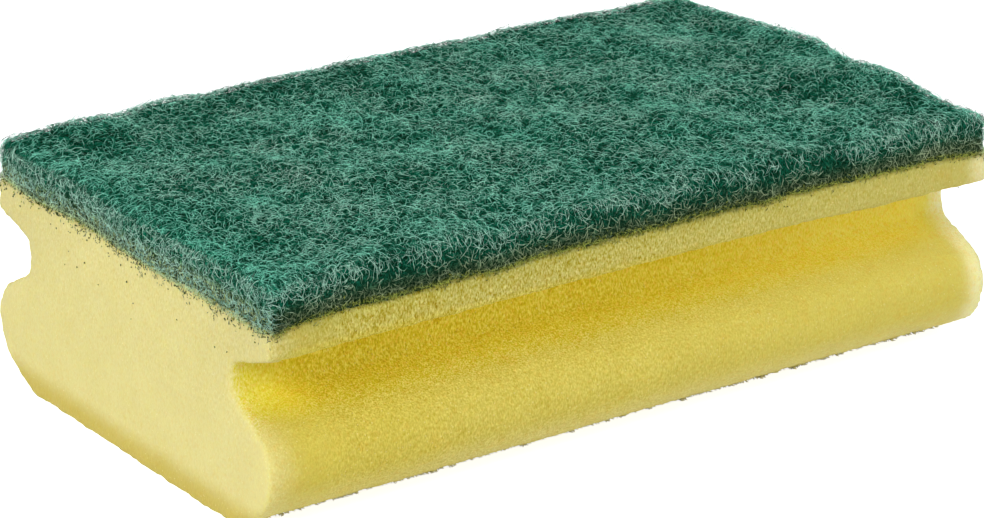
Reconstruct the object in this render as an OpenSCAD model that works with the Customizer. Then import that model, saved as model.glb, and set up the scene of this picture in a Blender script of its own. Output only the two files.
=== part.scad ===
// Cleaning sponge: a foam block with a grip groove along each long side and a
// scouring fleece bonded on its top. All sizes are in millimetres. +X runs along
// the length, +Y across the width and +Z up. The origin is under the middle of
// the block, on the surface that it stands on.

/* [Foam block] */
// Length of the block
foam_l = 150; // [60:1:300]
// Width of the block, across the two bulges below the grooves
foam_w = 90; // [50:1:140]
// Height of the block, without the fleece
foam_h = 37; // [29:1:70]

/* [Grip grooves] */
// Depth of a groove, from the widest part of the bulge below it
groove_depth = 11.5; // [6:0.1:20]
// Height of the groove's straight inner wall
groove_wall_h = 4.3; // [1:0.1:15]
// Radius of the curve from that wall onto the shoulder of the bulge
groove_r = 3.2; // [0.5:0.1:6]
// Slope of the shoulder, in degrees below level
shoulder_slope = 28; // [10:1:45]

/* [Flanges above the grooves] */
// How far a flange's tip is set in from the widest part of the bulge
flange_inset = 0.5; // [0:0.1:5]
// Thickness of a flange at its tip
flange_tip_t = 5; // [2:0.1:10]
// Thickness of a flange where it leaves the groove's inner wall
flange_root_t = 8.5; // [3:0.1:12]

/* [Bulges below the grooves] */
// Radius of the upper part of a bulge
bulge_top_r = 6.6; // [3:0.1:9]
// Radius of the lower part of a bulge
bulge_low_r = 10.5; // [4:0.1:14]
// Slope of the bevel between a bulge and the base, in degrees above level
base_bevel = 26; // [15:1:60]
// Height of that bevel, on a block with room for it below the bulge's upper curve
base_bevel_h = 2.8; // [0.5:0.1:10]

/* [Fleece] */
// Thickness of the fleece
fleece_t = 8; // [3:0.1:15]
// How far the fleece's ends are set in from the block's ends
fleece_end_inset = 0; // [0:0.1:5]
// How far the fleece's sides are set in from the flanges' tips
fleece_side_inset = 0; // [0:0.1:5]
// Radius of the fleece's corners, seen from above
fleece_corner_r = 3; // [0.5:0.1:15]

/* [Hidden] */
// Largest turn between two points of a curve in the section, in degrees
ARC_STEP = 6;
// Shortest edge that the section is given
SMALLEST_EDGE = 0.01;
FOAM_COLOUR = [0.93, 0.82, 0.33];
FLEECE_COLOUR = [0.08, 0.36, 0.28];

flange_w = foam_w - 2 * flange_inset;
fleece_l = foam_l - 2 * fleece_end_inset;
fleece_w = flange_w - 2 * fleece_side_inset;

// Points on a circle about c, from one angle to the other, both in degrees
function arc(c, r, from, to) =
    let (steps = ceil(abs(to - from) / ARC_STEP))
    [for (i = [0:steps]) let (a = from + (to - from) * i / steps) c + r * [cos(a), sin(a)]];

// The outline's other side, so that both together run round the whole section
function mirrored(points) = [for (i = [len(points) - 1:-1:0]) [-points[i].x, points[i].y]];

// Section of one long side, from the base up to the top. The shoulder is a straight
// slope that meets the groove's curve and the bulge's upper curve without a corner,
// so the height of the upper curve's centre follows from it. The lower curve rolls
// under onto the bevel. Its centre is never above the other one, and the bevel is left
// out where the curve itself reaches the base.
function side_outline() =
    let (
        wall_y = foam_w / 2 - groove_depth,
        wall_top = foam_h - flange_root_t,
        face_out = 90 - shoulder_slope,
        outward = [cos(face_out), sin(face_out)],
        groove_c = [wall_y + groove_r, wall_top - groove_wall_h],
        slope_top = groove_c - groove_r * outward,
        bulge_y = foam_w / 2 - bulge_top_r,
        slope_run = bulge_y + bulge_top_r * outward.x - slope_top.x,
        slope_end = slope_top + slope_run * [1, -tan(shoulder_slope)],
        bulge_c = slope_end - bulge_top_r * outward,
        low_z = min(bulge_c.y, base_bevel_h + bulge_low_r * cos(base_bevel)),
        low_c = [foam_w / 2 - bulge_low_r, low_z],
        low_turn = min(90 - base_bevel, asin(min(1, low_c.y / bulge_low_r))),
        low_end = low_c + bulge_low_r * [cos(low_turn), -sin(low_turn)]
    )
    concat(
        low_end.y > SMALLEST_EDGE ? [[low_end.x - low_end.y / tan(base_bevel), 0]] : [],
        arc(low_c, bulge_low_r, -low_turn, 0),
        arc(bulge_c, bulge_top_r, 0, face_out),
        arc(groove_c, groove_r, 180 + face_out, 180),
        [
            [wall_y, wall_top],
            [flange_w / 2, foam_h - flange_tip_t],
            [flange_w / 2, foam_h]
        ]
    );

// The block is one piece of foam, cut to the same section along its whole length
module foam_body() {
    color(FOAM_COLOUR)
        rotate([90, 0, 90])
            linear_extrude(height = foam_l, center = true)
                polygon(concat(side_outline(), mirrored(side_outline())));
}

// The fleece is a flat piece with rounded corners, bonded to the top of the block
module scouring_fleece() {
    inner_l = fleece_l - 2 * fleece_corner_r;
    inner_w = fleece_w - 2 * fleece_corner_r;
    color(FLEECE_COLOUR)
        translate([0, 0, foam_h])
            linear_extrude(height = fleece_t) {
                square([fleece_l, inner_w], center = true);
                square([inner_l, fleece_w], center = true);
                for (x = [-1, 1], y = [-1, 1])
                    translate([x * inner_l / 2, y * inner_w / 2])
                        circle(r = fleece_corner_r, $fn = 64);
            }
}

foam_body();
scouring_fleece();
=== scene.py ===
"""The looks of a cleaning sponge: a block of yellow foam with a grip groove along each
long side, and a scouring fleece of tangled green fibres bonded on its top."""

import math

import bpy
import numpy as np
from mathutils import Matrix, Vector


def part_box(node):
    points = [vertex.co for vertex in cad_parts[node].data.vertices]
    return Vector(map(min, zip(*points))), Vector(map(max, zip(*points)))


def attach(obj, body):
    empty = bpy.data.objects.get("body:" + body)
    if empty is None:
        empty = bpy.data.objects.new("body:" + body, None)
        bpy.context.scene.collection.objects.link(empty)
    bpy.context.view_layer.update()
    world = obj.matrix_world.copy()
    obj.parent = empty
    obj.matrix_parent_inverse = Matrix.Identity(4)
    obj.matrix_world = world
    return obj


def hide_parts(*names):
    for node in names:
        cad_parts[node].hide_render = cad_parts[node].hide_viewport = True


bl_info = {
    "name": "Cleaning Sponge",
    "version": (1, 0, 0),
    "blender": (4, 5, 0),
    "location": "View3D > Sidebar > Sponge",
    "description": "Foam block, scouring fleece and studio stage around the packed sponge",
    "category": "Object",
}

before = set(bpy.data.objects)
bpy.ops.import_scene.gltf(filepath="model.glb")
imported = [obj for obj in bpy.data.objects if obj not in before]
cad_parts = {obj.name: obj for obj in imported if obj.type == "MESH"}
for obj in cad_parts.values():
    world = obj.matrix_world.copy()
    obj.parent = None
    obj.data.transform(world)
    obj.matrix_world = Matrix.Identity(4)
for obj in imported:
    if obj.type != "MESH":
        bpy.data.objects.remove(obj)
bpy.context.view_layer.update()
FOAM_LOW, FOAM_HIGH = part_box("foam_body")
FLEECE_LOW, FLEECE_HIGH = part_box("scouring_fleece")
MM = 0.001

# Places in millimetres, for the shaping of points: the right end, the fleece's far side, the
# bond between foam and fleece, and the fleece's top.
END, SIDE, BOND, TOP = (
    round(place / MM, 3) for place in (FOAM_HIGH.x, FLEECE_HIGH.y, FOAM_HIGH.z, FLEECE_HIGH.z)
)

# Heights over which the foam's section changes: from a bulge into the groove, from the groove
# out to the flange, and up the flange's slope. Then the size of the core's mesh cells.
INTO_GROOVE = (13 * MM, 20 * MM)
OUT_OF_GROOVE = (35 * MM, 31 * MM)
ONTO_FLANGE = (28 * MM, 32 * MM)
CORE_VOXEL = 1.5 * MM

# Starts of the random waves and bits that wear the sponge.
SWELL_SEED, CLIMB_SEED, EDGE_SEED, TEAR_SEED, SHRED_SEED = 472812, 5, 8, 3, 11

# The fleece's layers of fibres, from the dense bed up to the loose strands. Each has a count of
# strands and of their points, a thickness and an arch as shares of the settings, the least and
# most depth of the crowns in millimetres, the tone and its spread, and how flat the strands lie
# and how much their ends dive.
# The deeper layers' lower tones are partly painted shade.
LAYERS = (
    dict(count=18000, points=3, thick=0.95, arch=1.0, high=0.15, deep=0.90, tone=0.32, spread=0.19,
         level=0.45, dive=0.2),
    dict(count=6600, points=3, thick=0.80, arch=1.1, high=-0.05, deep=0.35, tone=0.61, spread=0.31,
         level=0.45, dive=0.3),
    dict(count=3700, points=4, thick=0.70, arch=1.8, high=-0.15, deep=0.20, tone=0.79, spread=0.24,
         level=0.65, dive=0.7),
)

# A fibre has three corners round it, a third of a turn apart. They lie a little apart across
# the map.
THIRD_TURN = 2.0944
MAP_SHIFT = 0.008

# Colours that tint the foam in places.
SHELF_TINT = (0.72, 0.62, 0.09, 1.0)
LEFT_TINT = (0.72, 0.58, 0.0, 1.0)
SPECK_TINT = (1.0, 0.80, 0.50, 1.0)
PATCH_TINT = (1.0, 0.86, 0.60, 1.0)
# A painted highlight for the foam's glints.
GLINT_TINT = (1.0, 0.95, 0.55, 1.0)
# Painted shadow cast by the fleece on the foam's long sides.
SHADOW_TINT = (0.20, 0.24, 0.02, 1.0)

# The stage, in metres, but for the camera's sensor, which is in millimetres.
WHITE = (1.0, 1.0, 1.0, 1.0)
FLOOR_SIZE, FLOOR_GLOW = 8.0, 0.8
LAMP_PLACE, LAMP_SIZE = (-2.3, -1.15, 1.85), 1.4
FILL_PLACE, FILL_SIZE = (2.0, -1.6, 0.75), 1.2
CAMERA_PLACE, CAMERA_SENSOR = (-0.3463, -0.4872, 0.2458), 36


# ---------------------------------------------------------------- settings


def colour_setting(name, description, default):
    """A colour that a user would change."""
    return bpy.props.FloatVectorProperty(
        name=name, description=description, default=default, subtype="COLOR", size=3, min=0, max=1
    )


def length_setting(name, description, default):
    """A length in metres that a user would change."""
    return bpy.props.FloatProperty(
        name=name, description=description, default=default, unit="LENGTH", min=0, precision=5
    )


class FoamSettings(bpy.types.PropertyGroup):
    """Sizes and colours of the foam block."""

    voxel: length_setting("Voxel", "Size of the foam mesh's cells", 1.0 * MM)
    ripple: length_setting("Ripple", "Height of the slow waves in the cut faces", 0.45 * MM)
    tear: length_setting("Tear", "Height of the torn cells that show at the edges", 0.45 * MM)
    belly: length_setting("Belly", "How far the left end swells out", 0.5 * MM)
    teeth: length_setting("Teeth", "How far the torn bits along the base stand out", 0.45 * MM)
    cell: length_setting("Cell", "Width of the foam's open cells", 0.28 * MM)
    cell_depth: length_setting("Cell depth", "Depth of the open cells", 0.10 * MM)
    # The ends' paler colour is a painted sheen of the lamp on the end faces.
    end_colour: colour_setting("End colour", "Foam on the two ends", (0.81, 0.73, 0.30))
    side_colour: colour_setting("Side colour", "Foam on the long sides", (0.71, 0.61, 0.118))
    flange_colour: colour_setting("Flange colour", "Foam round the flanges", (0.66, 0.59, 0.152))
    # Painted light: light from the floor along the base, and light through the right end.
    painted_light_colour: colour_setting("Painted light colour", "Foam that light comes through", (0.95, 0.88, 0.44))
    # Painted bounce light: the groove colour is the orange of light bounced round the recess.
    groove_colour: colour_setting("Groove colour", "Foam deep in the grooves", (0.90, 0.74, 0.062))
    # Painted light: the lit colour lightens the grooves' right part, and the mouth colour their open ends.
    lit_colour: colour_setting("Lit colour", "Foam in the grooves' right part", (1.00, 0.82, 0.11))
    mouth_colour: colour_setting("Mouth colour", "Foam at the grooves' open ends", (0.83, 0.76, 0.125))
    # Painted light: the torn colour is lifted so that the bits under the foam's overhang read pale.
    torn_colour: colour_setting("Torn colour", "Torn bits along the base", (1.0, 0.94, 0.55))
    # Painted shade: the base colour darkens the ends along the floor.
    base_colour: colour_setting("Base colour", "Foam along the lowest edges", (0.64, 0.52, 0.12))
    glue_colour: colour_setting("Glue colour", "Stain at the bond on the sides", (0.07, 0.10, 0.006))
    smear_colour: colour_setting("Smear colour", "Stain at the bond on the ends", (0.46, 0.60, 0.16))


class FleeceSettings(bpy.types.PropertyGroup):
    """Sizes and colours of the scouring fleece."""

    core_inset: length_setting("Core inset", "How far the core lies under the fibres on top", 1.0 * MM)
    strand: length_setting("Strand", "Thickness of a fibre", 0.10 * MM)
    arch: length_setting("Arch", "How far a fibre shows before it dives", 1.8 * MM)
    edge_radius: length_setting("Edge radius", "Rounding of the upper edges", 2.6 * MM)
    corner_radius: length_setting("Corner radius", "Rounding of the corners", 2.0 * MM)
    # The dark colour is partly the fibres' own darker tone and partly painted shade deep in the fleece.
    dark_colour: colour_setting("Dark colour", "Fibres deep in the fleece", (0.001, 0.032, 0.013))
    mid_colour: colour_setting("Mid colour", "Most of the fibres", (0.008, 0.27, 0.150))
    pale_colour: colour_setting("Pale colour", "Fibres that catch the light", (0.33, 1.00, 0.76))
    # Painted highlight: it whitens pale fibres on the sides and all fibres on the ends.
    painted_highlight_colour: colour_setting("Painted highlight colour", "Pale fibres at the edges", (0.66, 1.00, 0.84))
    melted_colour: colour_setting("Melted colour", "Fibres in the bond", (0.52, 0.58, 0.09))
    bond_colour: colour_setting("Bond colour", "Fibres in glue on the sides", (0.035, 0.060, 0.004))
    # Painted shade: the pit colour fills the gaps at the bond.
    pit_colour: colour_setting("Pit colour", "Gaps at the bond", (0.006, 0.025, 0.006))
    low_side_colour: colour_setting("Low side colour", "Fibres low on the sides", (0.50, 0.59, 0.30))
    end_bond_colour: colour_setting("End bond", "Fibres in glue on the ends", (0.78, 0.90, 0.42))
    seed: bpy.props.IntProperty(name="Seed", description="Start of the random fibres", default=7)


class StageSettings(bpy.types.PropertyGroup):
    """Camera, lamp and floor."""

    azimuth: bpy.props.FloatProperty(
        name="Azimuth",
        description="Camera's angle round the sponge",
        default=math.radians(-35.32),
        subtype="ANGLE",
    )
    elevation: bpy.props.FloatProperty(
        name="Elevation",
        description="Camera's angle above level",
        default=math.radians(20.80),
        subtype="ANGLE",
    )
    lens: bpy.props.FloatProperty(
        name="Lens", description="Focal length in millimetres", default=132.1, min=20
    )
    floor_colour: colour_setting("Floor colour", "Floor under the sponge", (0.90, 0.90, 0.90))
    lamp_power: bpy.props.FloatProperty(
        name="Lamp power", description="Power of the soft lamp in watts", default=52.0, min=0
    )
    fill_power: bpy.props.FloatProperty(
        name="Fill power", description="Power of the weak lamp on the right in watts", default=15.0, min=0
    )
    ambient: bpy.props.FloatProperty(
        name="Ambient", description="Strength of the light from all round", default=0.45, min=0
    )


# ---------------------------------------------------------------- materials


class Tree:
    """The node tree of a material or a world, with short calls to add nodes and join them."""

    def __init__(self, owner):
        self.owner = owner
        owner.use_nodes = True
        self.nodes, self.links = owner.node_tree.nodes, owner.node_tree.links

    def node(self, kind, inputs=(), **settings):
        """Adds a node, sets it and fills its inputs with numbers or other nodes' outputs."""
        made = self.nodes.new("ShaderNode" + kind)
        for key, value in settings.items():
            setattr(made, key, value)
        for socket, value in dict(inputs).items():
            self.fill(made.inputs[socket], value)
        return made

    def fill(self, socket, value):
        """Links an output to the socket, or sets its value."""
        if isinstance(value, bpy.types.NodeSocket):
            self.links.new(value, socket)
        else:
            socket.default_value = value

    def finish(self, inputs):
        """Fills the inputs of the material's own shader and gives the material."""
        for socket, value in inputs.items():
            self.fill(self.nodes["Principled BSDF"].inputs[socket], value)
        return self.owner

    def place(self):
        """Where a point is, on Object coordinates."""
        return self.node("TexCoord").outputs["Object"]

    def axes(self, vector):
        """A vector's parts along X, Y and Z."""
        return self.node("SeparateXYZ", {0: vector}).outputs

    def normal(self):
        """The parts of the way that the surface faces."""
        return self.axes(self.node("NewGeometry").outputs["Normal"])

    def math(self, operation, a, b=0.0, c=0.0):
        """The result of a Math operation on up to three values."""
        return self.node("Math", {0: a, 1: b, 2: c}, operation=operation).outputs[0]

    def times(self, a, b):
        """One value times another."""
        return self.math("MULTIPLY", a, b)

    def fade(self, value, off, on):
        """off where value is 0, on where it is 1, and in proportion between them."""
        return self.math("MULTIPLY_ADD", value, on - off, off)

    def ramp(self, value, low, high):
        """0 where value is low, 1 where it is high, and smooth between them."""
        made = self.node(
            "MapRange", {0: value, 1: low, 2: high}, interpolation_type="SMOOTHSTEP", clamp=True
        )
        return made.outputs[0]

    def mix(self, share, a, b, blend="MIX"):
        """Colour a, and b where share is 1."""
        made = self.node("Mix", data_type="RGBA", blend_type=blend)
        for socket, value in ((made.inputs[0], share), (made.inputs[6], a), (made.inputs[7], b)):
            self.fill(socket, value)
        return made.outputs[2]

    def grey(self, value):
        """A grey of this value."""
        return self.node("CombineColor", {0: value, 1: value, 2: value}).outputs[0]

    def noise(self, place, size, detail=2.0, roughness=0.5):
        """Noise whose lumps are about size metres wide."""
        made = self.node(
            "TexNoise", {"Vector": place, "Scale": 1 / size, "Detail": detail, "Roughness": roughness}
        )
        return made.outputs[0]

    def cells(self, place, size):
        """Distance to the nearest cell's middle, for cells about size metres wide."""
        return self.node("TexVoronoi", {"Vector": place, "Scale": 1 / size}).outputs["Distance"]


def material_tree(name):
    """The tree of a new material."""
    return Tree(bpy.data.materials.new(name))


def rgba(colour):
    """A setting's colour with full cover."""
    return (*colour, 1.0)


def groove_colour(t, s, x, from_left, z):
    """The foam inside a groove: orange as painted bounce light of the recess, lighter in its right part and
    paler at its mouths as painted light that comes in through the ends.
    """
    end_x = FOAM_HIGH.x
    lit = t.ramp(from_left, 10 * MM, end_x - 15 * MM)
    lit = t.times(lit, t.ramp(z, 16 * MM, 22 * MM))
    colour = t.mix(lit, rgba(s.groove_colour), rgba(s.lit_colour))
    mouth = t.ramp(x, end_x - 11 * MM, end_x - 1 * MM)
    return t.mix(mouth, colour, rgba(s.mouth_colour))


def side_colour(t, s, x, from_left, y, z):
    """The foam on a long side: duller on the flange, orange in the groove and on the shelf below it as
    painted bounce light of the recess, and orange at the left. It is pale near the corners, along the base
    and at the right end as painted light that comes round the ends, off the floor and through the right end."""
    end_x = FOAM_HIGH.x
    # Painted light from the floor lightens the foam along the base.
    low = t.times(t.ramp(z, 10 * MM, 4 * MM), 0.35)
    side = t.mix(t.ramp(z, *ONTO_FLANGE), rgba(s.side_colour), rgba(s.flange_colour))
    side = t.mix(low, side, rgba(s.painted_light_colour))

    # Painted bounce light: the groove's orange, which reaches under the flange's lip towards the left.
    in_groove = t.times(t.ramp(y, 40.5 * MM, 35.5 * MM), t.ramp(z, *INTO_GROOVE))
    in_groove = t.times(in_groove, t.ramp(z, *OUT_OF_GROOVE))
    lip = t.times(t.ramp(z, 30 * MM, 31 * MM), t.ramp(z, 33.6 * MM, 31.8 * MM))
    lip = t.times(lip, t.fade(t.ramp(from_left, -10 * MM, 35 * MM), 0.4, 0.0))
    in_groove = t.math("MAXIMUM", in_groove, lip)
    side = t.mix(in_groove, side, groove_colour(t, s, x, from_left, z))

    # The shelf at the groove's foot gets a faint orange of painted bounce light.
    shelf = t.times(t.ramp(y, 34.5 * MM, 37 * MM), t.ramp(y, 41 * MM, 38.5 * MM))
    shelf = t.times(shelf, t.ramp(z, 24 * MM, 22 * MM))
    shelf = t.times(shelf, t.ramp(z, 14 * MM, 17 * MM))
    side = t.mix(t.times(shelf, 0.3), side, SHELF_TINT)
    left = t.times(t.ramp(from_left, -35 * MM, -52 * MM), 0.14)
    side = t.mix(left, side, LEFT_TINT)

    # Painted light: the corners turn pale with light that comes round from the ends, and the right end glows
    # with light that comes through it.
    corner = t.fade(in_groove, end_x - 7 * MM, end_x - 3 * MM)
    turned = t.times(t.ramp(x, corner, end_x + 1 * MM), 0.8)
    side = t.mix(turned, side, rgba(s.end_colour))
    painted_glow = t.ramp(from_left, end_x - 5.5 * MM, end_x - 0.3 * MM)
    return t.mix(painted_glow, side, rgba(s.painted_light_colour))


def foam_colour(t, s, place, on_end):
    """The foam's slow changes of colour over its sides and ends, with a drift in their borders. The ends are
    paler, as a painted sheen of the lamp, and darker at the base, as painted shade; sides and ends are a
    little darker from the height of the grooves up, except along the middle of the ends."""
    axes = t.axes(place)
    drift = t.times(t.math("SUBTRACT", t.noise(place, 5 * MM), 0.5), 3 * MM)
    from_left = t.math("ADD", axes[0], drift)
    x, y, z = t.math("ABSOLUTE", from_left), t.math("ABSOLUTE", axes[1]), axes[2]
    side = side_colour(t, s, x, from_left, y, z)
    # The ends: paler as painted sheen, and darker at the base as painted shade.
    end = t.mix(t.ramp(z, 6.5 * MM, 1.8 * MM), rgba(s.end_colour), rgba(s.base_colour))
    dull = t.times(t.ramp(y, 8 * MM, 40 * MM), t.ramp(z, 20 * MM, 31 * MM))
    return t.mix(1.0, t.mix(on_end, side, end), t.grey(t.fade(dull, 1.0, 0.92)), blend="MULTIPLY")


def grain_tint(t, place, on_end, hollow, grain):
    """A tint that lightens and darkens the foam by its grain of cells, blue more than red and
    green: strong at the left and on the flanges, and weak on the ends, near them and on the
    bulges. Blue changes most in the grooves."""
    x, _, z = t.axes(place)
    contrast = t.fade(t.ramp(x, -25 * MM, 60 * MM), 2.8, 1.05)
    contrast = t.times(contrast, t.fade(t.ramp(z, 20 * MM, 15 * MM), 1.0, 0.65))
    contrast = t.times(contrast, t.fade(on_end, 1.0, 0.45))
    near_end = t.ramp(t.math("ABSOLUTE", x), FOAM_HIGH.x - 18 * MM, FOAM_HIGH.x - 5 * MM)
    contrast = t.times(contrast, t.fade(near_end, 1.0, 0.45))
    contrast = t.times(contrast, t.fade(t.ramp(z, *ONTO_FLANGE), 1.0, 1.4))
    change = t.times(t.math("SUBTRACT", grain, 0.53), contrast)
    cloud = t.times(t.math("SUBTRACT", t.noise(place, 7 * MM, detail=3), 0.5), 0.16)
    change = t.math("ADD", change, cloud)
    blue = t.times(t.fade(hollow, 1.6, 4.2), t.fade(on_end, 1.0, 0.3))
    parts = [t.math("MULTIPLY_ADD", change, share, 1.0) for share in (0.5, 0.62, blue)]
    return t.node("CombineColor", dict(enumerate(parts))).outputs[0]


def flecked(t, place, on_end, hollow, colour):
    """The colour with warm specks, warm patches and pale glints, which are painted highlights."""
    warm = t.ramp(t.noise(place, 0.7 * MM, detail=1), 0.45, 0.75)
    warm = t.times(warm, t.fade(hollow, 0.35, 0.55))
    warm = t.times(warm, t.fade(on_end, 1.0, 0.4))
    colour = t.mix(warm, colour, SPECK_TINT, blend="MULTIPLY")
    patch = t.ramp(t.noise(place, 4 * MM, detail=1), 0.55, 0.8)
    patch = t.times(patch, t.fade(on_end, 0.35, 0.05))
    colour = t.mix(patch, colour, PATCH_TINT, blend="MULTIPLY")
    # Painted highlights: pale glints on the cells.
    glint = t.ramp(t.cells(place, 1.0 * MM), 0.16, 0.06)
    return t.mix(t.times(glint, 0.4), colour, GLINT_TINT)


def bond_stain_and_shadow(t, s, place, on_end, colour):
    """Paints a faint shadow under the fleece on the long sides, up to the bond, and stains the foam at the
    bond in ragged green patches that are fainter on the ends.
    """
    rough = t.noise(place, 1.5 * MM, detail=4, roughness=0.7)
    edge = t.math("MULTIPLY_ADD", rough, 2.4 * MM, t.axes(place)[2])
    edge = t.math("SUBTRACT", edge, t.times(on_end, 0.9 * MM))
    # Painted shadow of the fleece, on the long sides only.
    shadow = t.times(t.ramp(edge, FOAM_HIGH.z - 1.5 * MM, FOAM_HIGH.z + 1.8 * MM), 0.2)
    shadow = t.times(shadow, t.math("SUBTRACT", 1.0, on_end))
    colour = t.mix(shadow, colour, SHADOW_TINT)
    speck = t.ramp(t.noise(place, 0.45 * MM, detail=1), 0.40, 0.56)
    share = t.times(t.fade(speck, 0.4, 0.95), t.fade(on_end, 1.0, 0.4))
    stain = t.ramp(edge, FOAM_HIGH.z + 1.1 * MM, FOAM_HIGH.z + 2.3 * MM)
    glue = t.mix(on_end, rgba(s.glue_colour), rgba(s.smear_colour))
    return t.mix(t.times(stain, share), colour, glue)


def foam_material(s):
    """Open-celled foam, with a grain of cells, flecks, and a stained line at the bond. The cells
    are a little taller than wide."""
    t = material_tree("open cell foam")
    place = t.place()
    on_end = t.ramp(t.math("ABSOLUTE", t.normal()[0]), 0.25, 0.95)
    hollow = t.ramp(t.math("ABSOLUTE", t.axes(place)[1]), 42 * MM, 37 * MM)
    tall = t.node("Mapping", {"Vector": place, "Scale": (1, 1, 0.45)}).outputs[0]
    cell = t.cells(tall, 1.3 * s.cell)
    grain = t.noise(tall, s.cell, detail=2, roughness=0.6)
    tint = grain_tint(t, place, on_end, hollow, grain)
    colour = t.mix(1.0, foam_colour(t, s, place, on_end), tint, blend="MULTIPLY")
    colour = flecked(t, place, on_end, hollow, colour)
    height = t.math("ADD", t.times(cell, 0.6), grain)
    bump = t.node("Bump", {"Strength": 1.0, "Distance": s.cell_depth, "Height": height})
    looks = {
        "Normal": bump.outputs[0],
        "Base Color": bond_stain_and_shadow(t, s, place, on_end, colour),
        "Roughness": 0.75,
        "Specular IOR Level": 0.25,
        "Subsurface Weight": 0.6,
        "Subsurface Radius": (1.0, 0.8, 0.2),
        "Subsurface Scale": 3.0 * MM,
    }
    return t.finish(looks)


def torn_material(s):
    """Torn foam, painted pale as light that comes through its thin bits and lifts them out of the shade
    under the foam.
    """
    return material_tree("torn foam").finish(
        {"Base Color": rgba(s.torn_colour), "Roughness": 0.8, "Specular IOR Level": 0.1}
    )


def curly_lines(t, place):
    """Thin curly lines that cross and break off, as a height."""
    lines = None
    for size, width in ((0.9 * MM, 0.06), (0.75 * MM, 0.07), (0.6 * MM, 0.08), (0.5 * MM, 0.09)):
        level = t.math("ABSOLUTE", t.math("SUBTRACT", t.noise(place, size, detail=0.0), 0.5))
        shown = t.ramp(t.noise(place, 1.9 * size), 0.35, 0.65)
        line = t.times(t.ramp(level, width, 0.0), shown)
        lines = line if lines is None else t.math("MAXIMUM", lines, line)
    return lines


def core_material(s):
    """The dense middle of the fleece, where crossing fibres show as curly lines. Between them the dark
    colour stands for painted shade in the fleece's depths, and on the long sides the lines are dimmed as
    painted shade. Low on its sides the lines are glued ones."""
    t = material_tree("fleece core")
    place = t.place()
    lines = curly_lines(t, place)
    seen = t.ramp(lines, 0.05, 0.8)
    normal = t.normal()
    on_end = t.ramp(t.math("ABSOLUTE", normal[0]), 0.4, 0.8)
    on_top = t.ramp(normal[2], 0.3, 0.7)
    # Painted shade: the long sides show the lines half as much as the top and the ends.
    dim = t.math("MAXIMUM", on_end, t.fade(on_top, 0.5, 1.0))
    colour = t.mix(t.times(seen, dim), rgba(s.dark_colour), rgba(s.mid_colour))
    glued = t.mix(on_end, rgba(s.low_side_colour), rgba(s.end_bond_colour))
    # In the gaps at the bond the pit colour is painted shade.
    glued = t.mix(t.times(seen, t.fade(on_end, 0.5, 0.9)), rgba(s.pit_colour), glued)
    low = t.ramp(t.axes(place)[2], FLEECE_LOW.z + 4 * MM, FLEECE_LOW.z + 1 * MM)
    bump = t.node("Bump", {"Strength": 1.0, "Distance": 0.25 * MM, "Height": lines})
    colour = t.mix(t.times(low, 0.8), colour, glued)
    looks = {"Normal": bump.outputs[0], "Base Color": colour, "Roughness": 0.7, "Specular IOR Level": 0.05}
    return t.finish(looks)


def fibre_material(s):
    """Resin-coated fibres. Across the map runs a strand's tone. Its middle height is the bond, and from
    there it runs up over the long sides and the top, and down over the ends. Pale fibres on the sides and
    all fibres on the ends are whitened by a painted highlight."""
    t = material_tree("scouring fibre")
    tone, height, _ = t.axes(t.node("UVMap", uv_map="OFBake").outputs[0])
    colour = t.mix(t.ramp(tone, 0.0, 0.5), rgba(s.dark_colour), rgba(s.mid_colour))
    # Painted highlight: pale fibres below the top's edge turn whiter.
    at_edge = t.times(t.ramp(height, 0.97, 0.86), 0.9)
    pale = t.mix(at_edge, rgba(s.pale_colour), rgba(s.painted_highlight_colour))
    colour = t.mix(t.ramp(tone, 0.45, 1.0), colour, pale)

    # Low on the long sides the fibres run from the pit colour to an olive one by tone; the darkness there is
    # painted shade.
    low_side = t.mix(t.ramp(tone, 0.30, 0.90), rgba(s.pit_colour), rgba(s.low_side_colour))
    on_side = t.mix(t.times(t.ramp(height, 0.82, 0.58), 0.85), colour, low_side)
    melted = t.mix(t.ramp(tone, 0.35, 0.70), rgba(s.bond_colour), rgba(s.melted_colour))
    on_side = t.mix(t.times(t.ramp(height, 0.57, 0.52), 0.9), on_side, melted)

    # Painted light: fibres on the ends are paler, most towards the bond.
    end_highlight = t.fade(t.ramp(height, 0.05, 0.4), 0.12, 0.37)
    on_end = t.mix(end_highlight, colour, rgba(s.painted_highlight_colour))
    glued = t.mix(t.ramp(tone, 0.22, 0.55), rgba(s.pit_colour), rgba(s.end_bond_colour))
    on_end = t.mix(t.times(t.ramp(height, 0.36, 0.48), 0.9), on_end, glued)
    colour = t.mix(t.ramp(height, 0.5, 0.495), on_side, on_end)
    return t.finish({"Base Color": colour, "Roughness": 0.5, "Specular IOR Level": 0.04})


# ---------------------------------------------------------------- shapes


def deselect():
    """Leaves nothing selected."""
    bpy.ops.object.select_all(action="DESELECT")


def copy_of_node(node, name):
    """A merged copy of a CAD node's mesh, selected and active."""
    deselect()
    made = bpy.data.objects.new(name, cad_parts[node].data.copy())
    bpy.context.scene.collection.objects.link(made)
    made.data.materials.clear()
    made.select_set(True)
    bpy.context.view_layer.objects.active = made
    bpy.ops.object.mode_set(mode="EDIT")
    bpy.ops.mesh.select_all(action="SELECT")
    bpy.ops.mesh.remove_doubles(threshold=1e-6)
    bpy.ops.object.mode_set(mode="OBJECT")
    return made


def remesh(obj, voxel):
    """Gives the whole surface cells of one size, so that it can be shaped like a soft thing."""
    obj.data.remesh_voxel_size = voxel
    bpy.ops.object.voxel_remesh()


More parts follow.
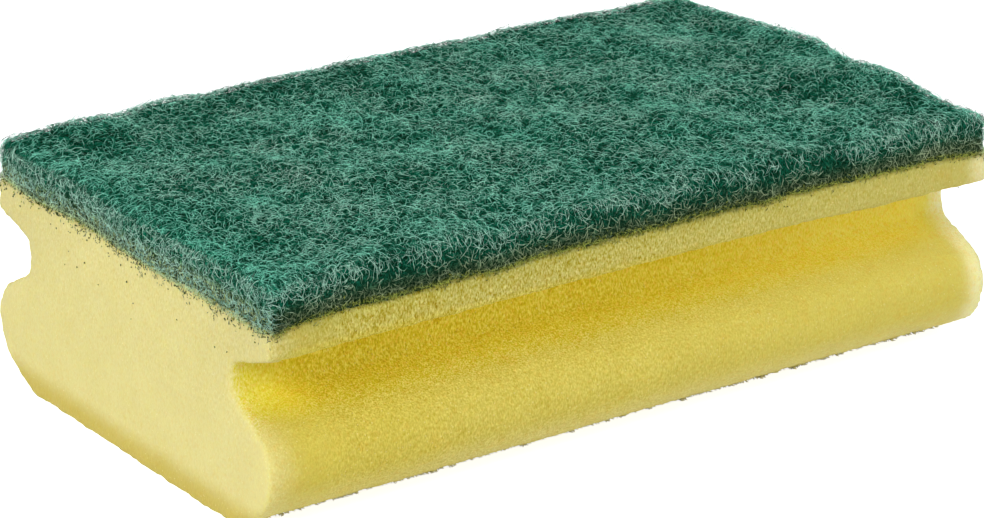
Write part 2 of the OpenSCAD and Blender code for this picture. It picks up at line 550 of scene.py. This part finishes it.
def soften(obj, times, left_of=math.inf):
    """Rounds the sharp edges, or only those to the left of a place along the length."""
    group = obj.vertex_groups.new(name="softened")
    group.add([v.index for v in obj.data.vertices if v.co.x <= left_of], 1.0, "REPLACE")
    modifier = obj.modifiers.new("soften", "SMOOTH")
    modifier.iterations = times
    modifier.vertex_group = group.name
    bpy.ops.object.modifier_apply(modifier=modifier.name)
    obj.vertex_groups.clear()


def roughen(obj, size, height, detail=2):
    """Moves the surface in and out by clouds of this size and height."""
    texture = bpy.data.textures.new(obj.name + " clouds", type="CLOUDS")
    texture.noise_scale = size
    texture.noise_depth = detail
    modifier = obj.modifiers.new("roughen", "DISPLACE")
    modifier.texture = texture
    modifier.strength = height
    bpy.ops.object.modifier_apply(modifier=modifier.name)


def shape_points(obj, change):
    """Runs a change of points, in millimetres, on a mesh."""
    count = len(obj.data.vertices)
    co = np.empty(count * 3)
    obj.data.vertices.foreach_get("co", co)
    co = change(co.reshape(-1, 3) / MM) * MM
    obj.data.vertices.foreach_set("co", co.ravel())
    obj.data.update()


def smooth_step(value, low, high):
    """0 where value is low, 1 where it is high, and smooth between them."""
    t = np.clip((value - low) / (high - low), 0, 1)
    return t * t * (3 - 2 * t)


def unit(vectors):
    """The vectors at length 1."""
    return vectors / np.maximum(np.linalg.norm(vectors, axis=-1), 1e-9)[..., None]


def waves(rng, shortest, longest, count=28):
    """A smooth random field over space, about -1 to 1."""
    direction = unit(rng.normal(size=(count, 3)))
    wave = direction * (2 * math.pi / rng.uniform(shortest, longest, count))[:, None]
    phase = rng.uniform(0, 2 * math.pi, count)
    return lambda p: np.sin(p @ wave.T + phase).sum(1) / math.sqrt(count)


SWELLS = waves(np.random.default_rng(SWELL_SEED), 14, 45)
CLIMBS = waves(np.random.default_rng(CLIMB_SEED), 14, 45)
EDGES = waves(np.random.default_rng(EDGE_SEED), 12, 40)


def sagged(points):
    """Points in millimetres, moved as the used sponge has settled. Its upper part sinks towards
    the left end and towards the near right corner. The fleece swells slowly up and down, puffs
    up in the middle of its right end, and its edges wander in and out."""
    x, y, z = points.T
    left = 0.7 * (np.minimum(x, 0) / END) ** 2
    right = 1.0 * smooth_step(x, 10, END + 3) * smooth_step(-y, -30, 45)
    raised = 1.0 * smooth_step(x, END - 30, END - 3) * smooth_step(20 - np.abs(y + 8), -14, 14)
    raised += 0.55 * SWELLS(points * (1, 1, 0))
    sunk = (left + right) * smooth_step(z, BOND - 13, BOND - 4)
    pushed = 0.45 * EDGES(points * (1, 1, 0.6)) * smooth_step(z, BOND - 0.5, BOND + 1.5)
    moved = points.copy()
    moved[:, 2] = z - sunk + raised * smooth_step(z, BOND + 2, TOP)
    moved[:, 0] += pushed * np.sign(x) * smooth_step(np.abs(x), END - 7, END - 1)
    moved[:, 1] += pushed * np.sign(y) * smooth_step(np.abs(y), SIDE - 6.5, SIDE - 0.5)
    return moved


def bond_rise(points):
    """How far the bond has climbed up the fleece, in millimetres: it does so along the long
    sides and dies out towards the ends, and it hangs lower on the near half of the left end."""
    x, y = points[:, 0], points[:, 1]
    climb = (0.9 + 0.3 * CLIMBS(points * (2, 2, 0))) * (1 - smooth_step(np.abs(x), END - 9, END))
    return climb - 0.9 * smooth_step(-x, END - 5, END - 1) * smooth_step(-y, -6, 12)


def worn_foam(points, belly, teeth):
    """The foam's points with the rims climbing to the bond, the left end swollen, the right
    end's foot spread, the long edges of the base torn, and the rest of the base flat."""
    x, y, z = points.T
    moved = points.copy()
    rim = smooth_step(z, BOND - 1.4, BOND)
    moved[:, 2] += np.maximum(bond_rise(points), 0) * rim * smooth_step(np.abs(y), SIDE - 8.5, SIDE - 2.5)
    moved[:, 2] += 0.6 * rim * smooth_step(np.abs(x), END - 4, END - 1)
    swell = smooth_step(-x, END - 15, END) * (1 - smooth_step(z, BOND - 11, BOND - 1))
    moved[:, 0] -= belly * swell * (1 + smooth_step(-z, -18, -6))
    foot = smooth_step(x, END - 20, END - 1) * (1 - smooth_step(z, 3, 12))
    moved[:, 0] += 0.9 * foot
    moved[:, 1] += 0.7 * np.sign(y) * foot * smooth_step(np.abs(y), 20, 34)
    torn = waves(np.random.default_rng(TEAR_SEED), 2.0, 4)(points) * teeth
    edge = smooth_step(np.abs(y), 30, 33.5) * (1 - smooth_step(z, 0.8, 3))
    moved[:, 1] += np.sign(y) * torn * edge
    moved = sagged(moved)
    moved[:, 2] = np.maximum(moved[:, 2], 0)
    return moved


class Slab:
    """The fleece's outer surface as a distance, in millimetres: flat on top, with rounded
    upper edges, straight sides and rounded corners seen from above."""

    def __init__(self, s):
        self.half = np.array([FLEECE_HIGH.x, FLEECE_HIGH.y]) / MM
        self.low, self.top = FLEECE_LOW.z / MM, FLEECE_HIGH.z / MM
        self.edge, self.corner = s.edge_radius / MM, s.corner_radius / MM

    def distance(self, points):
        """Signed distance to the surface and the way out of it."""
        sign = np.sign(points[:, :2]) + (points[:, :2] == 0)
        q = np.abs(points[:, :2]) - (self.half - self.corner)
        outside = np.maximum(q, 0)
        length = np.linalg.norm(outside, axis=1)
        plan = length + np.minimum(q.max(1), 0) - self.corner
        first = (q[:, 0] > q[:, 1]).astype(float)
        straight = np.stack([first, 1 - first], 1)
        way = np.where((length > 1e-6)[:, None], outside / np.maximum(length, 1e-6)[:, None], straight)
        way = way * sign
        a, b = plan + self.edge, points[:, 2] - (self.top - self.edge)
        both = (a > 0) & (b > 0)
        round_ = np.hypot(np.maximum(a, 0), np.maximum(b, 0))
        distance = round_ + np.minimum(np.maximum(a, b), 0) - self.edge
        sideways = np.where(both, a / np.maximum(round_, 1e-6), (a >= b).astype(float))
        upward = np.where(both, b / np.maximum(round_, 1e-6), (a < b).astype(float))
        return distance, np.column_stack([way * sideways[:, None], upward])

    def kept_inside(self, points, inset):
        """Points moved in, where they lie less than the inset under the top, or less than a
        third of it under the sides."""
        away, out = self.distance(points)
        inset = inset * (1 + 2 * np.maximum(out[:, 2], 0)) / 3
        return points - out * np.maximum(away + inset, 0)[:, None]

    def on_end(self, points):
        """Whether each of these points on the slab's sides is on an end."""
        return np.abs(points[:, 0]) > self.half[0] - 1

    def top_places(self, rng, count, low_x=-1.0, high_x=1.0):
        """Random places on the top, or on a part of it along the length."""
        x = rng.uniform(low_x, high_x, count) * self.half[0]
        y = rng.uniform(-1, 1, count) * self.half[1]
        return np.column_stack([x, y, np.full(count, self.top)])

    def side_places(self, rng, count):
        """Random places round the sides, from the bond up, and more of them near the bond."""
        along = rng.uniform(0, 1, count) * self.half.sum() * 4
        hx, hy = self.half
        on_end = along >= 4 * hx
        x = np.where(on_end, np.where(along < 4 * hx + 2 * hy, hx, -hx), (along % (2 * hx)) - hx)
        y = np.where(on_end, ((along - 4 * hx) % (2 * hy)) - hy, np.where(along < 2 * hx, -hy, hy))
        place = np.column_stack([x, y, self.low + 0.6 * on_end])
        place[:, 2] += bond_rise(place)
        place[:, 2] += (self.top - place[:, 2]) * rng.uniform(0, 1, count) ** 1.2
        return place

    def map_height(self, lines, start):
        """Each point's height on the fibres' map: the middle is the bond, and a strand climbs
        from it to 1, or to 0 if it starts on an end."""
        flat = lines.reshape(-1, 3)
        up = (flat[:, 2] - self.low - bond_rise(flat)) / (self.top - self.low)
        up = np.clip(up, 0, 1).reshape(lines.shape[:2])
        on_end = self.on_end(start) & (start[:, 2] < self.top - 0.5)
        return 0.5 + np.where(on_end, -0.48, 0.48)[:, None] * up


# ---------------------------------------------------------------- strands


def on_surface(obj, points, out):
    """Points moved level, against the way out, onto the surface of an object that has sagged."""
    moved = points.copy()
    for i, (point, way) in enumerate(zip(sagged(points) * MM, out)):
        hit, place, *_ = obj.ray_cast(point + 4 * MM * way, -way, distance=8 * MM)
        if hit:
            moved[i, :2] = place[0] / MM, place[1] / MM
    return moved


def at_points(values, points):
    """Each strand's value at all of its points."""
    return np.repeat(values[:, None], points, 1)


def headings(rng, out, level):
    """Random ways to run on a surface that faces out. level says how flat they lie, up to 1."""
    heading = rng.normal(size=out.shape)
    return unit(heading - out * (heading * out).sum(1)[:, None] * level)


def bent(middle, heading, bow, length, points):
    """Lines of some points about these middles, along the heading and bent to the bow."""
    far = np.linspace(-0.5, 0.5, points)[None, :, None]
    length = length[:, None, None]
    return middle[:, None] + far * length * heading[:, None] + far**2 * length * bow[:, None]


def arches(rng, slab, start, depth, length, layer):
    """A layer's short fibres, that arch out of the slab about these places and dive back into
    it, with their crowns at these depths under its surface. Those close to the bond lie on the
    surface, where the foam doesn't hide them."""
    for _ in range(2):
        away, out = slab.distance(start)
        start = start - out * away[:, None]
    depth = np.where(start[:, 2] < slab.low + 1.2, np.minimum(depth, 0.1) - 0.15, depth)
    heading = headings(rng, out, layer["level"])
    bow = np.cross(out, heading) * rng.normal(0, 0.8, len(start))[:, None]
    bow -= out * (layer["dive"] + rng.uniform(0.0, 0.6, len(start)))[:, None]
    return bent(start - out * depth[:, None], heading, bow, length, layer["points"])


def short_strands(rng, middle, out, length):
    """Short bent strands of three points about these middles, that lie along the surface."""
    heading = headings(rng, out, 0.85)
    bow = np.cross(out, heading) * rng.normal(0, 0.5, len(middle))[:, None]
    return bent(middle, heading, bow, length, 3)


def tube_points(lines, thickness):
    """The corners of tubes round these lines: one at each tip, and three round each point
    between the tips."""
    ahead = unit(lines[:, 2:] - lines[:, :-2])
    side = unit(np.cross(ahead, np.array([0.31, 0.17, 0.94])))
    other = np.cross(ahead, side)
    radius = thickness[:, None, None] / 2
    turns = (0.0, THIRD_TURN, 2 * THIRD_TURN)
    rings = [lines[:, 1:-1] + radius * (math.cos(a) * side + math.sin(a) * other) for a in turns]
    rings = np.stack(rings, 2).reshape(len(lines), -1, 3)
    return np.concatenate([lines[:, :1], rings, lines[:, -1:]], 1).reshape(-1, 3)


def tube_places(across, up):
    """The same corners' places on the map."""
    place = np.stack([across, up], 2)
    rings = np.repeat(place[:, 1:-1], 3, 1)
    rings[..., 0] += np.tile([-MAP_SHIFT, 0.0, MAP_SHIFT], across.shape[1] - 2)
    return np.concatenate([place[:, :1], rings, place[:, -1:]], 1).reshape(-1, 2)


def tube_faces(count, length, used):
    """The corners of the triangles at the tips of tubes, and of the bands of four-sided faces
    between their rings. used is how many corners the mesh has already."""
    size = 3 * (length - 2) + 2
    base = used + np.arange(count)[:, None, None] * size
    i, j = np.arange(3), (np.arange(3) + 1) % 3
    first = np.stack([0 * i, 1 + j, 1 + i], 1)
    last = np.stack([size - 4 + i, size - 4 + j, 0 * i + size - 1], 1)
    tips = (base[..., None] + np.stack([first, last])).reshape(-1, 3)
    bands = [np.stack([a + i, a + j, a + 3 + j, a + 3 + i], 1) for a in range(1, size - 4, 3)]
    return tips, [(base + band).reshape(-1, 4) for band in bands]


def tubes(name, strands):
    """One mesh of closed three-sided fibres, pointed at both ends. Each row of strands is a set
    of lines in millimetres with their thickness, and each point's place on the map."""
    points, places, threes, fours, used = [], [], [], [], 0
    for lines, thickness, across, up in strands:
        lines = sagged(lines.reshape(-1, 3)).reshape(lines.shape)
        points.append(tube_points(lines, thickness))
        places.append(tube_places(across, up))
        tips, bands = tube_faces(*lines.shape[:2], used)
        threes.append(tips)
        fours += bands
        used += len(points[-1])
    corners = np.concatenate([faces.ravel() for faces in threes + fours])
    sizes = np.repeat([3, 4], [sum(map(len, threes)), sum(map(len, fours))])
    mesh = bpy.data.meshes.new(name)
    mesh.vertices.add(used)
    mesh.vertices.foreach_set("co", np.concatenate(points).ravel() * MM)
    mesh.loops.add(len(corners))
    mesh.loops.foreach_set("vertex_index", corners.astype(np.int32))
    mesh.polygons.add(len(sizes))
    mesh.polygons.foreach_set("loop_start", (np.cumsum(sizes) - sizes).astype(np.int32))
    mesh.polygons.foreach_set("use_smooth", np.ones(len(sizes), bool))
    mesh.update(calc_edges=True)
    layer = mesh.uv_layers.new(name="OFBake")
    spots = np.clip(np.concatenate(places)[corners], 0.01, 0.99)
    layer.uv.foreach_set("vector", spots.astype(np.float32).ravel())
    mesh.validate()
    made = bpy.data.objects.new(name, mesh)
    bpy.context.scene.collection.objects.link(made)
    return made


def finish_piece(obj, material):
    """Gives a piece its material and its body."""
    obj.data.materials.append(material)
    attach(obj, "root")


def fibre_shade(rng, layer, patches, away, lines, start, height):
    """The tone of a layer's strands at each of their points: patchy, darker deep in the fleece, on the far
    side and low on the long sides as painted shade, and a little lighter towards the left end as painted
    light."""
    shape = lines.shape[:2]
    shade = layer["tone"] + 0.12 * patches(lines.reshape(-1, 3)).reshape(shape)
    own = rng.normal(0, layer["spread"], len(lines))[:, None]
    # Painted shade: deeper points are darker.
    shade += own + 0.75 * (np.minimum(away, 0) + 0.40)
    # Painted shade on the far side, and painted light towards the left end, where the lamp is.
    painted_far_shade = 0.12 * smooth_step(start[:, 1], 10, 42)
    painted_left_light = 0.05 * smooth_step(-start[:, 0], 10, 70)
    shade += (painted_left_light - painted_far_shade)[:, None]
    # Painted shade low on the long sides.
    shade -= 1.35 * np.maximum(0.88 - height, 0) * (height > 0.55)
    return shade


def fibre_layer(rng, slab, s, patches, places, layer):
    """One layer's strands, about as many random places as it has strands."""
    count = layer["count"]
    start = places(count)
    depth = rng.uniform(layer["high"], layer["deep"], count)
    length = rng.uniform(0.6, 1.4, count) * (layer["arch"] * s.arch) / MM
    lines = arches(rng, slab, start, depth, length, layer)
    away = slab.distance(lines.reshape(-1, 3))[0].reshape(count, -1)
    height = slab.map_height(lines, start)
    shade = fibre_shade(rng, layer, patches, away, lines, start, height)
    thickness = rng.uniform(0.8, 1.2, count) * (layer["thick"] * s.strand) / MM
    return lines, thickness, shade, height


def loose_loops(rng, slab, on_top=200, at_edge=500):
    """Strands that curl out of the top and, more of them, out of its edges. A few are large, and
    those at the far side and the right end are low."""
    count, points = on_top + at_edge, 8
    start = np.concatenate([slab.top_places(rng, on_top), slab.side_places(rng, at_edge)])
    start[on_top:, 2] = slab.top
    for _ in range(2):
        away, out = slab.distance(start)
        start -= out * (away + 0.3)[:, None]
    along = unit(np.cross(out, rng.normal(size=(count, 3))))
    radius = rng.uniform(0.35, 0.9, count)
    radius[rng.uniform(0, 1, count) < 0.08] = 1.4
    sweep = rng.uniform(0.9, 1.7, count) * math.pi
    lean = rng.normal(size=(count, 3)) * 0.3
    turn = np.linspace(0, 1, points)[None, :] * sweep[:, None] + 0.3
    reach = (radius[:, None] * (1 - np.cos(turn)))[..., None]
    reach *= np.where((start[:, 1] > SIDE - 14.5) | (start[:, 0] > END - 15), 0.5, 1.0)[:, None, None]
    run = (radius[:, None] * np.sin(turn) * 1.3)[..., None]
    loops = start[:, None] + run * along[:, None] + 0.62 * reach * (out + lean)[:, None]
    tone = at_points(rng.uniform(0.0, 0.45, count), points)
    return loops, np.full(count, 0.10), tone, np.full_like(tone, 0.98)


def bond_fringe(rng, slab, foam, count=3200):
    """Short glued strands along the bond, in a ragged band that is wider on the ends."""
    start = slab.side_places(rng, count)
    on_end = slab.on_end(start)
    spread = np.where(on_end, 0.7, 0.55)
    ragged = np.where(on_end, 0.8, 0.3) * waves(rng, 2, 9)(start)
    start[:, 2] = slab.low + bond_rise(start) + ragged + spread * rng.normal(size=count)
    start[:, 2] += np.where(on_end, 0.6, 0.1)
    out = slab.distance(start)[1]
    middle = on_surface(foam, start, out)
    fringe = short_strands(rng, middle + 0.03 * out, out, rng.uniform(0.3, 1.2, count))
    tone = at_points(rng.uniform(0.05, 0.65, count) * np.where(on_end, 0.5, 1.0), 3)
    height = at_points(0.5 + np.where(on_end, -1, 1) * rng.uniform(0.0, 0.06, count), 3)
    return fringe, rng.uniform(0.10, 0.18, count), tone, height


def torn_bits(rng, foam, count=1600, start_y=36.0):
    """Points of torn foam that stand out of the base's long edges. Each is looked for from
    start_y inwards, and one that finds no foam is dropped."""
    side = np.where(rng.uniform(0, 1, count) < 0.5, -1, 1)
    x = rng.uniform(1 - END, END - 1, count)
    place = np.column_stack([x, side * start_y, rng.uniform(0.5, 0.8, count)])
    out = np.column_stack([0 * x, side, 0 * x]).astype(float)
    place = on_surface(foam, place, out)
    place[:, 2] = rng.uniform(0.2, 0.4, count)
    point = place + out * rng.uniform(-0.4, 0.4, count)[:, None]
    point[:, 0] += rng.normal(0, 0.3, count)
    point[:, 2] = 0.15
    bits = np.stack([place - 1.2 * out, place - 0.5 * out, point], 1)
    bits = bits[np.abs(place[:, 1]) < start_y - 0.1]
    tone = np.full(bits.shape[:2], 0.5)
    return bits, rng.uniform(0.3, 0.5, len(bits)), tone, tone


def fallen_crumbs(rng, foam, count=2000):
    """Crumbs of fleece on the foam's faces: most of them on the ends, close under the bond, and
    a few far below it, where the foam is narrower."""
    high = FOAM_HIGH / MM
    on_end = rng.uniform(0, 1, count) < 0.85
    fall = rng.exponential(0.45, count) - 0.3
    fall[rng.uniform(0, 1, count) < 0.05] *= 6
    fall = np.where(on_end, np.minimum(fall * 1.3, 30), np.minimum(0.3 * fall, 2.0))
    side = np.where(rng.uniform(0, 1, count) < 0.5, -1, 1)
    flange = FLEECE_HIGH.y / MM
    along = rng.uniform(-1, 1, count)
    x = np.where(on_end, side * high.x, along * high.x)
    y = np.where(on_end, along * (flange - np.maximum(fall - 5, 0) * 1.6), side * flange)
    place = np.column_stack([x, y, high.z - fall])
    place[:, 2] += np.where(on_end, 0.35, np.maximum(bond_rise(place), 0))
    out = np.column_stack([side * on_end, side * ~on_end, np.zeros(count)]).astype(float)
    place = on_surface(foam, place, out)
    bits = short_strands(rng, place + 0.03 * out, out, rng.uniform(0.2, 0.45, count))
    tone = at_points(rng.uniform(0.1, 0.6, count), 3)
    return bits, rng.uniform(0.26, 0.5, count), tone, np.full_like(tone, 0.51)


# ---------------------------------------------------------------- pieces


class SPONGE_OT_foam_block(bpy.types.Operator):
    """Adds the foam block, remeshed from the CAD solid and roughened like cut foam"""

    bl_idname = "sponge.foam_block"
    bl_label = "Foam block"

    def execute(self, context):
        s = context.scene.sponge_foam
        foam = copy_of_node("foam_body", "foam_block")
        remesh(foam, s.voxel)
        soften(foam, 3)
        soften(foam, 10, left_of=FOAM_LOW.x + 4 * MM)
        roughen(foam, 14 * MM, s.ripple)
        roughen(foam, 4 * MM, 0.8 * s.ripple)
        roughen(foam, 1.3 * MM, s.tear, detail=1)
        shape_points(foam, lambda points: worn_foam(points, s.belly / MM, s.teeth / MM))
        bpy.ops.object.shade_smooth()
        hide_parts("foam_body")
        finish_piece(foam, foam_material(s))
        return {"FINISHED"}


class SPONGE_OT_fleece_core(bpy.types.Operator):
    """Adds the dense core of the fleece, a little inside the CAD solid"""

    bl_idname = "sponge.fleece_core"
    bl_label = "Fleece core"

    def execute(self, context):
        s = context.scene.sponge_fleece
        core = copy_of_node("scouring_fleece", "fleece_core")
        remesh(core, CORE_VOXEL)
        slab = Slab(s)
        shape_points(core, lambda points: slab.kept_inside(points, s.core_inset / MM))
        soften(core, 2)
        roughen(core, 4 * MM, 0.8 * MM)
        shape_points(core, sagged)
        bpy.ops.object.shade_smooth()
        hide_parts("scouring_fleece")
        finish_piece(core, core_material(s))
        return {"FINISHED"}


class SPONGE_OT_fleece_fibres(bpy.types.Operator):
    """Adds the tangled fibres of the fleece's top, in three parts, and of its sides"""

    bl_idname = "sponge.fleece_fibres"
    bl_label = "Fleece fibres"

    def execute(self, context):
        s = context.scene.sponge_fleece
        rng = np.random.default_rng(s.seed)
        slab, patches = Slab(s), waves(rng, 6, 30)
        material = fibre_material(s)
        pieces = {
            "fibres_left": lambda count: slab.top_places(rng, count, high_x=-1 / 3),
            "fibres_middle": lambda count: slab.top_places(rng, count, -1 / 3, 1 / 3),
            "fibres_right": lambda count: slab.top_places(rng, count, low_x=1 / 3),
            "fibres_sides": lambda count: slab.side_places(rng, count),
        }
        for name, places in pieces.items():
            strands = [fibre_layer(rng, slab, s, patches, places, layer) for layer in LAYERS]
            finish_piece(tubes(name, strands), material)
        return {"FINISHED"}


class SPONGE_OT_fleece_fuzz(bpy.types.Operator):
    """Adds the loose loops that stand out of the fleece, and its fringe along the bond"""

    bl_idname = "sponge.fleece_fuzz"
    bl_label = "Fleece fuzz"

    def execute(self, context):
        s = context.scene.sponge_fleece
        rng = np.random.default_rng(s.seed + 1)
        slab, foam = Slab(s), bpy.data.objects["foam_block"]
        material = fibre_material(s)
        finish_piece(tubes("loose_loops", [loose_loops(rng, slab)]), material)
        finish_piece(tubes("bond_fringe", [bond_fringe(rng, slab, foam)]), material)
        return {"FINISHED"}


class SPONGE_OT_foam_shreds(bpy.types.Operator):
    """Adds the torn bits of foam that stand out along the base's long edges"""

    bl_idname = "sponge.foam_shreds"
    bl_label = "Foam shreds"

    def execute(self, context):
        s = context.scene.sponge_foam
        bits = torn_bits(np.random.default_rng(SHRED_SEED), bpy.data.objects["foam_block"])
        finish_piece(tubes("foam_shreds", [bits]), torn_material(s))
        return {"FINISHED"}


class SPONGE_OT_crumbs(bpy.types.Operator):
    """Adds the crumbs of fleece that lie on the foam's faces below the bond"""

    bl_idname = "sponge.crumbs"
    bl_label = "Crumbs"

    def execute(self, context):
        s = context.scene.sponge_fleece
        bits = fallen_crumbs(np.random.default_rng(s.seed + 2), bpy.data.objects["foam_block"])
        finish_piece(tubes("crumbs", [bits]), fibre_material(s))
        return {"FINISHED"}


class SPONGE_OT_stage(bpy.types.Operator):
    """Adds the floor, the soft lamps, the surrounding light and the camera"""

    bl_idname = "sponge.stage"
    bl_label = "Stage"

    def execute(self, context):
        s = context.scene.sponge_stage
        add_floor(s)
        add_lamp("soft_lamp", LAMP_PLACE, LAMP_SIZE, s.lamp_power)
        add_lamp("fill_lamp", FILL_PLACE, FILL_SIZE, s.fill_power)
        add_surroundings(s)
        add_camera(s)
        return {"FINISHED"}


def seen_directly(t):
    """1 for camera, glossy and transmission rays, which see a white studio."""
    rays = t.node("LightPath").outputs
    seen = t.math("MAXIMUM", rays["Is Camera Ray"], rays["Is Glossy Ray"])
    return t.math("MAXIMUM", seen, rays["Is Transmission Ray"])


def add_floor(s):
    """A wide pale floor that shows nearly white and keeps a soft shadow."""
    deselect()
    bpy.ops.mesh.primitive_plane_add(size=FLOOR_SIZE, location=(0, 0, 0))
    floor = bpy.context.object
    floor.name = "floor"
    t = material_tree("studio floor")
    t.nodes.clear()
    paint = t.node("BsdfDiffuse", {"Color": rgba(s.floor_colour)}).outputs[0]
    glow = t.node("Emission", {"Strength": t.times(seen_directly(t), FLOOR_GLOW)}).outputs[0]
    t.node("OutputMaterial", {"Surface": t.node("AddShader", {0: paint, 1: glow}).outputs[0]})
    floor.data.materials.append(t.owner)


def add_lamp(name, place, size, power):
    """A round lamp of this size in metres and power in watts, turned to the sponge."""
    bpy.ops.object.light_add(type="AREA", location=place)
    lamp = bpy.context.object
    lamp.name = name
    lamp.data.shape = "DISK"
    lamp.data.size = size
    lamp.data.energy = power
    lamp.rotation_mode = "QUATERNION"
    lamp.rotation_quaternion = lamp.location.to_track_quat("Z", "Y")


def add_surroundings(s):
    """White surroundings, that light the sponge from all round more weakly than they look."""
    world = bpy.data.worlds.new("studio")
    bpy.context.scene.world = world
    t = Tree(world)
    t.nodes.clear()
    ambient = t.node("Background", {"Color": WHITE, "Strength": s.ambient}).outputs[0]
    white = t.node("Background", {"Color": WHITE}).outputs[0]
    mix = t.node("MixShader", {0: seen_directly(t), 1: ambient, 2: white}).outputs[0]
    t.node("OutputWorld", {"Surface": mix})


def add_camera(s):
    """The camera, low on the front left, looking at the near left corner's side."""
    bpy.ops.object.camera_add(
        location=CAMERA_PLACE, rotation=(math.pi / 2 - s.elevation, 0, s.azimuth)
    )
    camera = bpy.context.object
    camera.name = "camera"
    camera.data.lens = s.lens
    camera.data.sensor_width = CAMERA_SENSOR
    camera.data.clip_start = 0.01
    bpy.context.scene.camera = camera
    bpy.context.scene.view_settings.view_transform = "Standard"


class SPONGE_PT_panel(bpy.types.Panel):
    """Lists the sponge's settings and pieces"""

    bl_idname = "SPONGE_PT_panel"
    bl_label = "Cleaning sponge"
    bl_space_type = "VIEW_3D"
    bl_region_type = "UI"
    bl_category = "Sponge"

    def draw(self, context):
        for settings in (context.scene.sponge_foam, context.scene.sponge_fleece, context.scene.sponge_stage):
            for name in settings.__annotations__:
                self.layout.prop(settings, name)
        for operator in OPERATORS:
            self.layout.operator(operator.bl_idname)


OPERATORS = (
    SPONGE_OT_foam_block,
    SPONGE_OT_fleece_core,
    SPONGE_OT_fleece_fibres,
    SPONGE_OT_fleece_fuzz,
    SPONGE_OT_foam_shreds,
    SPONGE_OT_crumbs,
    SPONGE_OT_stage,
)
SETTINGS = {"sponge_foam": FoamSettings, "sponge_fleece": FleeceSettings, "sponge_stage": StageSettings}


def register():
    """Adds the classes and their settings."""
    for cls in (*SETTINGS.values(), *OPERATORS, SPONGE_PT_panel):
        bpy.utils.register_class(cls)
    for name, group in SETTINGS.items():
        setattr(bpy.types.Scene, name, bpy.props.PointerProperty(type=group))


def unregister():
    """Takes them away again."""
    for name in SETTINGS:
        delattr(bpy.types.Scene, name)
    for cls in (SPONGE_PT_panel, *reversed(OPERATORS), *reversed(SETTINGS.values())):
        bpy.utils.unregister_class(cls)


def main():
    """Builds the sponge and its stage."""
    register()
    bpy.ops.sponge.foam_block()
    bpy.ops.sponge.fleece_core()
    bpy.ops.sponge.fleece_fibres()
    bpy.ops.sponge.fleece_fuzz()
    bpy.ops.sponge.foam_shreds()
    bpy.ops.sponge.crumbs()
    bpy.ops.sponge.stage()


if __name__ == "__main__":
    main()
